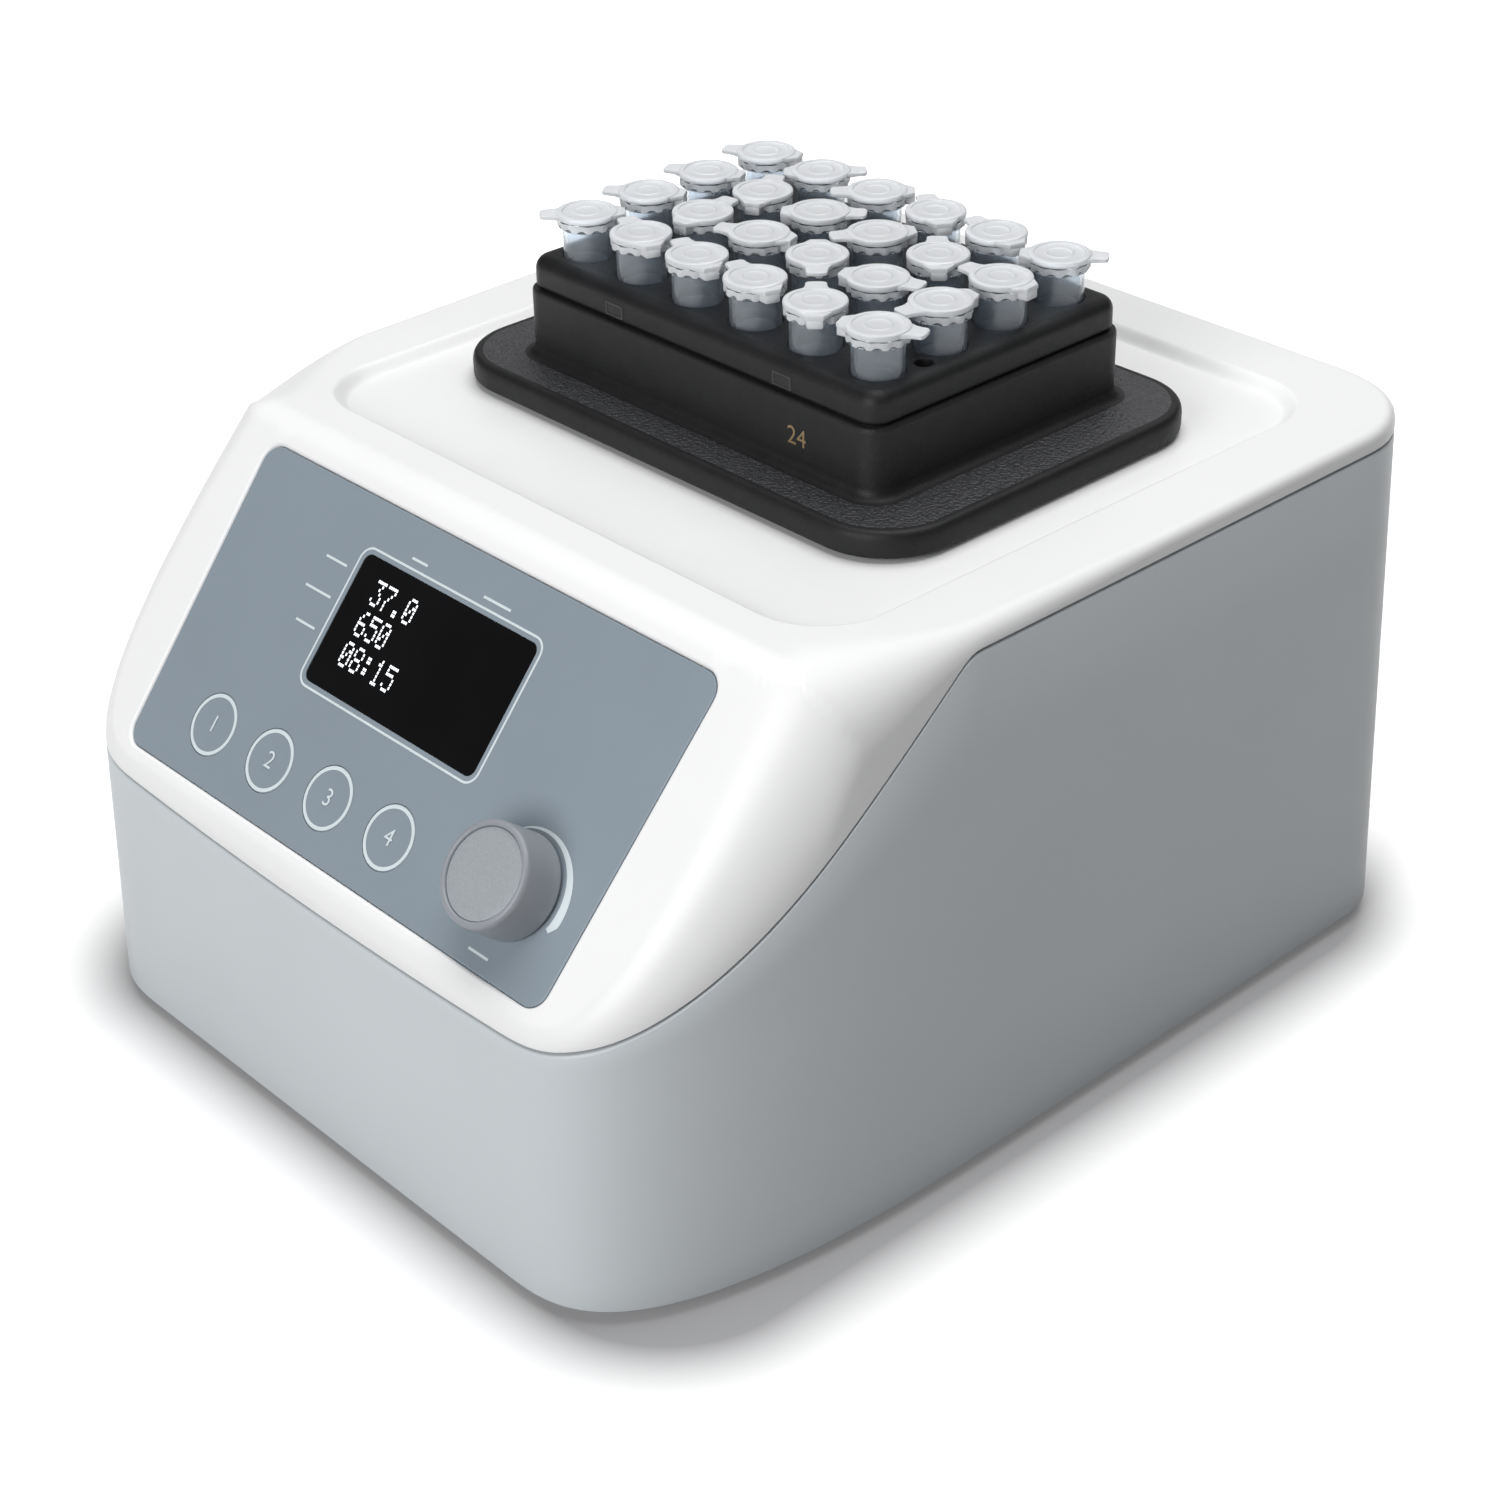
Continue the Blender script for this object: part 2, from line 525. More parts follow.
def band_normals(band, step=0.004):
    """normals of the band from the distance's slope near each sample"""
    points, sample = band.reshape(-1, 3), np.repeat(ALL, BAND_ROWS)

    def distance(p):
        off = p[:, :2] - spot(sample, p[:, 2], 0.0)
        return soft_max((off * NORMALS[sample]).sum(1), roof(p[:, 1], p[:, 2]), EDGE_R[sample])

    slope = np.column_stack([distance(points + h) - distance(points - h) for h in np.eye(3) * step])
    return unit(slope).reshape(COUNT, BAND_ROWS, 3)

# the shallow recess round the block
RECESS_DEPTH, RECESS_BLEND = 2.6, 3.4
RECESS_HALF_W, RECESS_R = WIDTH / 2 - 19.6, 17.0
RECESS_Y = (FRONT_Y + 67, BACK_Y - 16.3)
RECESS_D, RECESS_MID = RECESS_Y[1] - RECESS_Y[0], sum(RECESS_Y) / 2
BLOCK_Y = FRONT_Y + 145.6
DRIVE_Y = BLOCK_Y - 1.5
OPENING_W, OPENING_D, OPENING_R = 102.4 + 7, 68.8 + 7, 8.5
BROW_Y, BROW_HALF_W = -61.54, 72  # where the control face meets the flat top
LIP_W, STEP_H, COVER_WALL = 1.2, 2.6, 2.6  # at the parting line, seen from below

def cover_height(x, y):
    across = np.abs(x) - (RECESS_HALF_W - RECESS_R)
    deep = np.abs(y - RECESS_MID) - (RECESS_D / 2 - RECESS_R)
    beyond = np.hypot(np.maximum(across, 0), np.maximum(deep, 0)) + np.minimum(np.maximum(across, deep), 0)
    into = np.clip((RECESS_R - beyond) / RECESS_BLEND, 0, 1)
    return roof_height(y) - RECESS_DEPTH * smooth_step(into)

def cover_normals(x, y, step=0.003):
    slope_x = (cover_height(x + step, y) - cover_height(x - step, y)) / (2 * step)
    slope_y = (cover_height(x, y + step) - cover_height(x, y - step)) / (2 * step)
    return unit(np.column_stack([-slope_x, -slope_y, np.ones_like(slope_x)]))

def add_cover_lip(mesh, edge, edge_normals):
    """at the parting line: the lip's underside, then the step behind it and the wall's inner side"""
    def ring(depth, above):
        points = PART_RING.copy()
        points[:, :2] += depth * INSETS
        points[:, 2] += above
        return points

    lip = mesh.add(edge, [(-n[0] * 0.3, -n[1] * 0.3, -0.95) for n in edge_normals])
    under = mesh.add(ring(LIP_W, 0.0), [(0, 0, -1)] * COUNT)
    mesh.bridge(under, lip)
    inward = [(-n[0], -n[1], 0) for n in NORMALS]
    step = mesh.add(ring(LIP_W, 0.0), inward)
    step_top = mesh.add(ring(LIP_W + 0.05, STEP_H), inward)
    inner = mesh.add(ring(COVER_WALL, STEP_H), [(0, 0, -1)] * COUNT)
    mesh.bridge(step_top, step)
    mesh.bridge(inner, step_top)

def add_cover_top(mesh, edge, edge_normals, opening):
    """the surface inside the band, with the recess, the block's opening and the overlay's pocket"""
    pocket = [(x, PANEL_Y + h * cos(SLOPE)) for x, h in overlay_outline(POCKET_RIM)]
    loops = []
    for share in (0, 0.12, 0.25, 0.38, 0.5, 0.62, 0.75, 0.88, 1.0):
        into = share * RECESS_BLEND
        loops.append(round_rect(2 * (RECESS_HALF_W - into), RECESS_D - 2 * into, RECESS_R - into, 16,
            (0, RECESS_MID)))
    brow = [(x, y) for y in np.linspace(BROW_Y - 5, BROW_Y + 5, 17)
        for x in np.linspace(-BROW_HALF_W, BROW_HALF_W, 25)]
    brow = [point for point, kept in zip(brow, inside(brow, edge[:, :2])) if kept]
    plan, faces = fill(edge[:, :2], [pocket, opening], loops, brow)
    z = cover_height(plan[:, 0], plan[:, 1])
    normals = cover_normals(plan[:, 0], plan[:, 1])
    gaps = norm(plan[:, None, :] - edge[None, :, :2], axis=2)
    on_edge = gaps.min(1) < 1e-4
    z[on_edge] = edge[gaps[on_edge].argmin(1), 2]
    normals[on_edge] = edge_normals[gaps[on_edge].argmin(1)]
    mesh.triangles(faces, mesh.add(np.column_stack([plan, z]), normals))

def add_pocket(mesh):
    """the rounded rim of the overlay's pocket, and its floor with the holes of keys, knob and display"""
    previous = None
    for grow, out, tilt in ((POCKET_RIM, 0.0, 0.0), (0.78, -0.03, 0.25), (0.55, -0.12, 0.55),
            (0.36, -0.28, 0.85), (0.22, -0.5, 1.2), (OVERLAY_GAP, -0.8, 1.5),
            (OVERLAY_GAP, POCKET_FLOOR, 1.57)):
        outline = overlay_outline(grow)
        along = np.roll(np.array(outline), -1, 0) - np.roll(np.array(outline), 1, 0)
        away = unit(np.column_stack([-along[:, 1], along[:, 0]]))
        tips = [panel(a * sin(tilt), b * sin(tilt), cos(tilt)) for a, b in away]
        current = mesh.add(on_panel(outline, out), np.array(tips) - panel(0, 0))
        if previous:
            mesh.bridge(previous, current)
        previous = current
    holes = [circle(KEY_STEM_HOLE_R, 24, key) for key in KEYS] + [circle(SHAFT_HOLE_R, 32, DIAL)]
    holes.append(round_rect(WINDOW_W - 5, WINDOW_H - 4, WINDOW_R, 4, WINDOW))
    plan, faces = fill(overlay_outline(OVERLAY_GAP), holes)
    floor_normal = (0, -sin(SLOPE), cos(SLOPE))
    mesh.triangles(faces, mesh.add(on_panel(plan, POCKET_FLOOR), [floor_normal] * len(plan)))

def cover_shell():
    band = edge_band()
    normals = band_normals(band)
    mesh = Mesh()
    rows = [mesh.add(band[:, k], normals[:, k]) for k in range(BAND_ROWS)]
    for low, high in zip(rows, rows[1:]):
        mesh.bridge(low, high)
    add_cover_lip(mesh, band[:, 0], normals[:, 0])
    opening = round_rect(OPENING_W, OPENING_D, OPENING_R, 6, (0, DRIVE_Y))
    add_cover_top(mesh, band[:, -1], normals[:, -1], opening)
    add_pocket(mesh)
    inward = unit(np.array([(-x, DRIVE_Y - y, 0.0) for x, y in opening]))
    rim = mesh.add(level(opening, TOP - RECESS_DEPTH), inward)
    mesh.bridge(rim, mesh.add(level(opening, TOP - RECESS_DEPTH - 2.5), inward))
    build("cover_shell", mesh, [WHITE], "housing", ["top_cover"], normals=True)

cover_shell()

# -------- base housing
INLET_SEAT = BACK_Y - 2.6  # the inlet's face lies this deep in the back wall
SHADOW_GAP = 0.8  # the open line between base and cover
MID_WALL_Z, RIM_ROUND = 53.0, 0.9
TONGUE_IN, TONGUE_H, BASE_WALL = 1.45, 2.6, 2.5  # the tongue behind the open line

def base_shell():
    rim = wall_at_parting(-SHADOW_GAP)[:, 2]
    rings = [wall_ring(inset, z) for inset, z in
        ((0.9, FOOT), (0.35, FOOT + 0.12), (0.08, FOOT + 0.4), (0.0, FOOT + 0.9), (0.0, FOOT + 6.0),
        (0.0, INLET_Z[0]), (0.0, sum(INLET_Z) / 2), (0.0, INLET_Z[1]), (0.0, MID_WALL_Z))]
    rings += [wall_ring(0.0, MID_WALL_Z + (rim - RIM_ROUND - MID_WALL_Z) * share) for share in (0.35, 0.7)]
    rings += [wall_ring(inset, rim + above) for inset, above in
        ((0.0, -0.75), (0.10, -0.38), (0.32, -0.12), (0.75, 0.0))]
    mesh = Mesh()
    wall = [mesh.add(ring) for ring in rings]
    for low, high in zip(wall, wall[1:]):
        for i in range(COUNT):
            j = (i + 1) % COUNT
            quad = (low[i], low[j], high[j], high[i])
            x, y, z = np.mean([mesh.points[q] for q in quad], 0)
            if not (y > 0 and INLET_X[0] < x < INLET_X[1] and INLET_Z[0] < z < INLET_Z[1]):
                mesh.face(quad)
    tongue = [wall[-1]] + [mesh.add(wall_ring(inset, rim + above)) for inset, above in
        ((TONGUE_IN - 0.03, -0.02), (TONGUE_IN, 0.02), (TONGUE_IN, TONGUE_H),
        (BASE_WALL, TONGUE_H), (BASE_WALL, -9.0))]
    for k, (low, high) in enumerate(zip(tongue, tongue[1:])):
        mesh.bridge(low, high, min(k, 1))
    foot = [wall[0]] + [mesh.add(wall_ring(BASE_WALL, FOOT + above)) for above in (0, 12)]
    for low, high in zip(foot, foot[1:]):
        mesh.bridge(high, low)
    corners = [(x, z) for x, z in zip(INLET_X + INLET_X[::-1], np.repeat(INLET_Z, 2))]
    mesh.loft([[(x, y, z) for x, z in corners] for y in (BACK_Y, INLET_SEAT)])
    build("base_shell", mesh, [GREY, GAP], "housing", ["base_housing"], angle=28)

base_shell()

# -------- control panel
def overlay_plate():
    holes = [round_rect(WINDOW_W, WINDOW_H, WINDOW_R, 6, WINDOW)]
    holes += [circle(KEY_HOLE_R, 56, key) for key in KEYS] + [circle(SHAFT_HOLE_R, 40, DIAL)]
    mesh = Mesh()
    mesh.loft([on_panel(overlay_outline(grow), FILM_FACE + out) for grow, out in
        ((0, -FILM), (0, -0.32), (-0.06, -0.12), (-0.2, -0.02), (-0.4, 0.0))])
    plan, faces = fill(overlay_outline(-0.4), holes)
    mesh.triangles(faces, mesh.add(on_panel(plan, FILM_FACE)))
    for hole in holes:
        mesh.loft([on_panel(hole, FILM_FACE), on_panel(hole, FILM_FACE - FILM)])
    build("overlay_plate", mesh, [OVERLAY], "housing", ["control_overlay"], angle=30)

def screen_glass():
    mesh, rings = Mesh(), []
    for g, out in ((0.1, -FILM), (0.1, -0.12), (0.18, -0.04), (0.35, 0.0)):
        outline = round_rect(WINDOW_W - 2 * g, WINDOW_H - 2 * g, WINDOW_R - g, 6, WINDOW)
        rings.append(on_panel(outline, FILM_FACE + out))
    mesh.face(mesh.loft(rings)[-1])
    build("screen_glass", mesh, [SCREEN], "housing", ["display_window"], angle=25)

def ribbon(mesh, path, width, closed=False):
    """a printed line along a path in panel coordinates; width may be a list"""
    path = np.array(path, float)
    along = unit(np.roll(path, -1, 0) - np.roll(path, 1, 0) if closed else np.gradient(path, axis=0))
    half = np.broadcast_to(np.asarray(width, float), (len(path),))[:, None] / 2
    away = np.column_stack([-along[:, 1], along[:, 0]]) * half
    left = mesh.add(on_panel(path + away, PRINT_OUT))
    right = mesh.add(on_panel(path - away, PRINT_OUT))
    mesh.bridge(right, left, closed=closed)

# (radius, height over the overlay's face): stem, skirt under the face, edge, dished top
KEY_PROFILE = [(1.9, -3.85), (1.9, -0.6), (6.86, -0.6), (6.9, -0.12), (6.84, -0.04), (6.7, 0.0), (5.4, 0.0),
    (4.6, -0.06), (2.0, -0.1)]
KEY_RING_R, KEY_RING_W, KEY_MARK_SIZE = 6.3, 0.78, 5.2

def key_disc(number, place):
    body = f"key_{number}"
    mesh = Mesh()
    rings = [on_panel(circle(r, 56, place), FILM_FACE + out) for r, out in KEY_PROFILE]
    mesh.face(mesh.loft(rings)[-1])
    build(f"key_disc_{number}", mesh, [OVERLAY], body, [body], angle=30)

def key_print(number, place):
    """the key's printed ring and plain number"""
    body = f"key_{number}"
    mesh = Mesh()
    ribbon(mesh, circle(KEY_RING_R, 72, place), KEY_RING_W, closed=True)
    build(f"key_ring_{number}", mesh, [PRINT], body)
    stand = Matrix.Translation(Vector(panel(*place, PRINT_OUT)) * MM) @ Matrix.Rotation(SLOPE, 4, "X")
    lettering(f"key_mark_{number}", str(number), KEY_MARK_SIZE, 6, stand, PRINT, body)

DASH_W, DASH_END_X, UPPER_DASH_H, LOWER_DASH_H = 0.55, -32.4, 62.9, 3.4
LEFT_DASHES = ((55.0, 7.0), (47.7, 8.6), (40.5, 6.4))  # height and length
UPPER_DASHES = ((-13.7, 5.0), (11.1, 8.4))  # middle and length
LOWER_DASH = (DIAL[0] - 4.2, DIAL[0] + 1.6)

def panel_print():
    """the window's outline, the tapering arc round the knob, and dashes where the panel has captions"""
    mesh = Mesh()
    ribbon(mesh, round_rect(WINDOW_W + 2.4, WINDOW_H + 2.4, 3.0, 8, WINDOW), 0.5, closed=True)
    turns = np.radians(np.linspace(122, -20, 60))
    width = np.interp(np.linspace(0, 1, 60), [0, 0.25, 0.93, 1.0], [0.25, 0.7, 2.1, 1.0])
    radii = 11.45 + width / 2
    ribbon(mesh, [(DIAL[0] + r * cos(a), DIAL[1] + r * sin(a)) for r, a in zip(radii, turns)], width)
    dashes = [(DASH_END_X - length, DASH_END_X, h) for h, length in LEFT_DASHES]
    dashes += [(x - length / 2, x + length / 2, UPPER_DASH_H) for x, length in UPPER_DASHES]
    dashes.append((*LOWER_DASH, LOWER_DASH_H))
    for x0, x1, h in dashes:
        ribbon(mesh, [(x0, h), (x1, h)], DASH_W)
    build("panel_print", mesh, [PRINT], "housing")

# characters of a five by seven dot matrix, row by row
DOT_ROWS = {
    "0": "01110 10001 10011 10101 11001 10001 01110", "1": "00100 01100 00100 00100 00100 00100 01110",
    "3": "11111 00010 00100 00010 00001 10001 01110", "5": "11111 10000 11110 00001 00001 10001 01110",
    "6": "00110 01000 10000 11110 10001 10001 01110", "7": "11111 00001 00010 00100 01000 01000 01000",
    "8": "01110 10001 10001 01110 10001 10001 01110", ".": "00000 00000 00000 00000 00000 01100 01100",
    ":": "00000 01100 01100 00000 01100 01100 00000",
}
READINGS = ("37.0", "650", "08:15")
DOT_PITCH, DOT_SIZE, DOT_NARROW = 0.80, 0.60, 0.74  # across, both are narrowed by the last
TEXT_X, TEXT_H, TEXT_LINE = -21.8, 55.2, 6.9

def display_dots():
    mesh = Mesh()
    pitch_x, size_x = DOT_PITCH * DOT_NARROW, DOT_SIZE * DOT_NARROW
    for line, text in enumerate(READINGS):
        for place, character in enumerate(text):
            for row, bits in enumerate(DOT_ROWS[character].split()):
                for column in (c for c, bit in enumerate(bits) if bit == "1"):
                    x = TEXT_X + (6 * place + column) * pitch_x
                    h = TEXT_H - line * TEXT_LINE - row * DOT_PITCH
                    corners = [(x, h), (x + size_x, h), (x + size_x, h + DOT_SIZE), (x, h + DOT_SIZE)]
                    mesh.face(mesh.add(on_panel(corners, FILM_FACE + 0.03)))
    build("display_dots", mesh, [DOT], "housing")

overlay_plate()
screen_glass()
for make in (key_disc, key_print):
    for number, place in enumerate(KEYS, 1):
        make(number, place)
panel_print()
display_dots()

# -------- knob
# (radius, height over the control face): bore, hollow underside, tapering side, rounded rim, face
KNOB_PROFILE = [(3.05, 2.3), (5.0, 2.3), (5.0, 7.3), (8.3, 7.3), (8.9, 0.75), (8.95, 0.4), (10.4, 0.4),
    (10.64, 0.5), (10.74, 0.72), (10.76, 1.1), (10.7, 4.0), (10.62, 9.1), (10.56, 9.7),
    (10.4, 10.12), (10.1, 10.36), (9.75, 10.45), (9.45, 10.4), (9.26, 10.24), (9.18, 10.0),
    (9.16, 9.7), (3.0, 9.7), (1.0, 9.7)]
DISC_PROFILE = [(9.04, 9.72), (9.06, 9.85), (8.96, 9.97), (8.7, 10.02), (6.0, 10.0), (3.0, 9.98),
    (1.0, 9.98)]

def knob_piece(name, profile, mat, replaced, angle):
    mesh = Mesh()
    mesh.face(mesh.loft([on_panel(circle(r, 96, DIAL), out) for r, out in profile])[-1])
    build(name, mesh, [mat], "knob", [replaced], angle=angle)

knob_piece("knob_body", KNOB_PROFILE, KNOB, "control_knob", 35)
knob_piece("knob_disc", DISC_PROFILE, DISC, "knob_cap", 30)

# -------- block
PITCH, TUBES_ACROSS, TUBES_DEEP = 17.55, 6, 4
FLANGE_W, FLANGE_D, FLANGE_R = 138.0, 98.2, 17.0
LOWER_W, LOWER_D, LOWER_R = 108.0, 74.4, 5.5  # the lower tier
UPPER_W, UPPER_D, UPPER_R = LOWER_W - 2, LOWER_D - 2, LOWER_R - 1
UPPER_EDGE_R = 3.0
BORE_W, BORE_D, BORE_R = 102.8, 69.2, 3.2
COVE = 2.4  # between the flange and the lower tier
FLANGE_Z = TOP - RECESS_DEPTH + 1.0
FLANGE_TOP = FLANGE_Z + 5.7
SEAM_Z, BLOCK_TOP = FLANGE_TOP + 15.2, FLANGE_TOP + 22.4
UPPER_Z = SEAM_Z + 0.5
TUBE_PLACES = [((i - 2.5) * PITCH, BLOCK_Y + (j - 1.5) * PITCH)
    for j in range(TUBES_DEEP) for i in range(TUBES_ACROSS)]
PROBE_WELL = (2.5 * PITCH + 4, BLOCK_Y - PITCH)

def block_outline(w, d, r, count):
    return round_rect(w, d, r, count, (0, BLOCK_Y))

def tier(mesh, w, d, r, profile, count):
    """rings of one rounded rectangle; the profile gives their inset and height"""
    mesh.loft([level(block_outline(w - 2 * g, d - 2 * g, max(0.5, r - g), count), z) for g, z in profile])

def quarter(count):
    """sine and cosine at even steps from 0 to 90 degrees"""
    return [(sin(a), cos(a)) for a in np.radians(np.linspace(0, 90, count))]

def block_lower():
    """the flange with its grained top, a cove, the lower tier, the underside and the bore"""
    mesh = Mesh()
    tier(mesh, FLANGE_W, FLANGE_D, FLANGE_R, [(g, FLANGE_Z + above) for g, above in
        ((6.0, 0.4), (2.0, 0.05), (0.9, 0), (0.35, 0.12), (0.08, 0.45), (0.0, 1.0), (0.0, 3.3), (0.06, 4.1),
        (0.24, 4.75), (0.55, 5.25), (0.95, 5.55))] + [(1.5, FLANGE_TOP), (2.3, FLANGE_TOP)], 14)
    plan, faces = fill(block_outline(FLANGE_W - 4.6, FLANGE_D - 4.6, FLANGE_R - 2.3, 14),
        [block_outline(LOWER_W + 2 * COVE, LOWER_D + 2 * COVE, LOWER_R + COVE, 10)])
    mesh.triangles(faces, mesh.add(level(plan, FLANGE_TOP)), 1)
    profile = [(-COVE * (1 - s), FLANGE_TOP + COVE * (1 - c)) for s, c in quarter(7)]
    profile += [(g, SEAM_Z + above) for g, above in
        ((0.0, -1.2), (0.04, -0.5), (0.25, -0.12), (0.7, 0), (1.6, 0), (1.6, 0.2))]
    tier(mesh, LOWER_W, LOWER_D, LOWER_R, profile, 10)
    bore = block_outline(BORE_W, BORE_D, BORE_R, 8)
    mesh.loft([level(bore, SEAM_Z), level(bore, FLANGE_Z + 0.4),
        level(block_outline(FLANGE_W - 12, FLANGE_D - 12, FLANGE_R - 6, 8), FLANGE_Z + 0.4)])
    build("block_lower", mesh, [BLACK, GRAIN], "block", ["block_skirt"], angle=32)

def block_upper():
    """the upper tier with the wells' rims; each well's deeper stretch is dark"""
    mesh = Mesh()
    profile = [(g, UPPER_Z + above) for g, above in
        ((1.6, 0), (0.7, 0), (0.25, 0.1), (0.05, 0.4), (0.0, 0.9))]
    profile += [(UPPER_EDGE_R * (1 - c), BLOCK_TOP - UPPER_EDGE_R + UPPER_EDGE_R * s) for s, c in quarter(9)]
    tier(mesh, UPPER_W, UPPER_D, UPPER_R, profile, 10)
    wells = [(place, 40, ((5.9, 0), (5.72, 0.06), (5.6, 0.25), (5.55, 2.3))) for place in TUBE_PLACES]
    wells.append((PROBE_WELL, 28, ((2.25, 0), (2.08, 0.1), (2.0, 0.4), (2.0, 2.4))))
    top = block_outline(UPPER_W - 2 * UPPER_EDGE_R, UPPER_D - 2 * UPPER_EDGE_R, UPPER_R - UPPER_EDGE_R, 10)
    plan, faces = fill(top, [circle(rings[0][0], count, place) for place, count, rings in wells])
    mesh.triangles(faces, mesh.add(level(plan, BLOCK_TOP)))
    for place, count, rings in wells:
        mesh.loft([level(circle(r, count, place), BLOCK_TOP - down) for r, down in rings], mats=[0, 0, 1])
    build("block_upper", mesh, [BLACK, HOLE], "block", ["block_top"], angle=32)

CLIP_WINDOWS_X = ((-27.0, -21.5), (24.0, 29.5))
CLIP_WINDOW_Z = (UPPER_Z + 0.6, UPPER_Z + 3.7)

def clip_windows():
    """dark pockets with a raised frame, two on the upper tier's front and two on its back"""
    z0, z1 = CLIP_WINDOW_Z
    for side, way in (("front", -1), ("back", 1)):
        wall_y = BLOCK_Y + way * (UPPER_D / 2 + 0.03)
        for number, (x0, x1) in enumerate(CLIP_WINDOWS_X, 1):
            mesh = Mesh()
            rings = []
            for g, out in ((0.0, -0.02), (0.12, 0.16), (0.40, 0.16), (0.52, 0.0)):
                corners = ((x0 + g, z0 + g), (x1 - g, z0 + g), (x1 - g, z1 - g), (x0 + g, z1 - g))
                rings.append([(x, wall_y + way * out, z) for x, z in corners])
            mesh.face(mesh.loft(rings)[-1], 1)
            build(f"clip_window_{side}_{number}", mesh, [EDGE, HOLE], "block")

SIZE_MARK, SIZE_MARK_H = "24", 5.6  # the number of tubes
SIZE_MARK_PLACE = Vector((32.0, BLOCK_Y - LOWER_D / 2 - 0.05, 137.0))

block_lower()
block_upper()
clip_windows()
lettering("size_mark", SIZE_MARK, SIZE_MARK_H, 12,
    Matrix.Translation(SIZE_MARK_PLACE * MM) @ Matrix.Rotation(pi / 2, 4, "X"), GOLD, "block")

# -------- tubes
# the way each lid's tab points in the photograph, in degrees, front row first
TAB_TURNS = [229, 157, 160, 163, 135, 24, 215, 100, 200, 315, 20, 259,
    207, 120, 40, 235, 135, 183, 207, 48, 225, 147, 165, 38]
TUBE_H = 40.6
TUBE_Z = BLOCK_TOP + 9.8 - TUBE_H
RIM = TUBE_H - 1.3 - 0.12  # the lid's underside; all heights are from the tube's tip
TUBE_STEPS = 48
SCALLOP_DEPTH, SCALLOP_RISE = 0.28, 0.45
PLATE_EDGE = 0.14
# (radius, height)
VESSEL_OUTSIDE = [(0.4, 0.0), (2.2, 0.05), (2.8, 0.4), (3.1, 0.9), (4.3, 4.2), (5.0, 6.6), (5.3, 8.2),
    (5.4, 9.4), (5.4, 30.3), (5.46, 30.5), (5.46, 30.75), (5.4, 30.95), (5.4, RIM - 2.0),
    (5.5, RIM - 1.9), (6.2, RIM - 1.9)]
VESSEL_INSIDE = [(5.0, RIM - 0.2), (4.6, RIM - 1.2), (4.55, RIM - 3.0), (4.5, 9.6), (4.2, 7.4), (3.4, 4.6),
    (2.2, 1.7), (1.2, 1.1), (0.4, 1.0)]
COLLAR = [(6.2, RIM - 1.9), (6.45, RIM - 1.75), (6.5, RIM - 1.2), (6.5, RIM - 0.2)]
LID_UNDERSIDE = [(5.0, RIM), (6.3, RIM)]
LID_EDGE = [(6.3, RIM), (6.52, RIM + 0.12), (6.62, RIM + 0.4), (6.62, RIM + 0.9), (6.5, RIM + 1.2),
    (6.2, TUBE_H - 0.06)]
LID_TOP = [(5.9, 0), (5.45, 0), (5.3, 0.05), (5.2, 0.28), (5.0, 0.34), (3.2, 0.34), (3.0, 0.3), (2.85, 0.16),
    (2.6, 0.14), (2.4, 0.28), (2.2, 0.32), (0.5, 0.32)]  # (radius, depth under the top)
# flat tongues: half of the outline, mirrored across the tab's direction, then the lowest and highest point
TAB = [(5.6, -3.3), (7.0, -2.5), (8.4, -2.25), (9.6, -2.2), (10.05, -1.7), (10.2, -0.9)]
HINGE = [(-5.0, 3.9), (-6.6, 2.9), (-7.7, 2.1), (-8.2, 1.7)]
STRAP = [(-5.9, 2.0), (-8.05, 1.6), (-8.2, 1.3)]
TONGUES = ((TAB, RIM + 0.1, TUBE_H - 0.45), (HINGE, RIM + 0.05, TUBE_H - 0.4), (STRAP, RIM - 1.7, RIM + 0.1))

def tube_piece(number, place, turn):
    """a capped tube as one moulding: vessel, scalloped collar, lid with rings, tab and hinge"""
    def put(x, y, z):
        return (place[0] + x * cos(turn) - y * sin(turn), place[1] + x * sin(turn) + y * cos(turn),
            TUBE_Z + z)

    def ring(r, z):
        return [put(x, y, z) for x, y in circle(r, TUBE_STEPS)]

    def scalloped(r, z):
        points = []
        for step, (x, y) in enumerate(circle(1, TUBE_STEPS)):
            deep = step // 2 % 2
            reach = r - SCALLOP_DEPTH * deep
            points.append(put(x * reach, y * reach, z + SCALLOP_RISE * deep * (z < RIM - 1.3)))
        return points

    mesh = Mesh()
    outside = mesh.loft([ring(*point) for point in VESSEL_OUTSIDE], 1)
    mesh.face(outside[0][::-1], 1)
    mesh.face(mesh.loft([ring(*point) for point in VESSEL_INSIDE], 1)[-1], 1)
    mesh.loft([scalloped(*point) for point in COLLAR])
    lid = [ring(*point) for point in LID_EDGE] + [ring(r, TUBE_H - down) for r, down in LID_TOP]
    mesh.face(mesh.loft(lid)[-1])
    mesh.loft([ring(*point) for point in LID_UNDERSIDE])
    for half, low, high in TONGUES:
        outline = np.array(half + [(x, -y) for x, y in half[::-1]])
        shrunk = outline - unit(outline - outline.mean(0)) * PLATE_EDGE
        rings = [[put(x, y, z) for x, y in plan] for plan, z in
            ((shrunk, low), (outline, low + PLATE_EDGE), (outline, high - PLATE_EDGE), (shrunk, high))]
        ids = mesh.loft(rings)
        mesh.face(ids[-1])
        mesh.face(ids[0][::-1])
    body = f"tube_{number:02d}"
    build(body + "_moulding", mesh, [LID, VESSEL], body, [body], angle=40)

for number, (place, turn) in enumerate(zip(TUBE_PLACES, TAB_TURNS), 1):
    tube_piece(number, place, radians(turn))

# -------- inlet blades
SOCKET_X, SOCKET_Z, SOCKET_MOUTH = 37.0, 31, INLET_SEAT + 2.2
BLADE_HALF_W, BLADE_HALF_H, BLADE_ROOT = 1.06, 2.06, 16.9
BLADES = ((-7, -1.8), (0, 2.2), (7, -1.8))

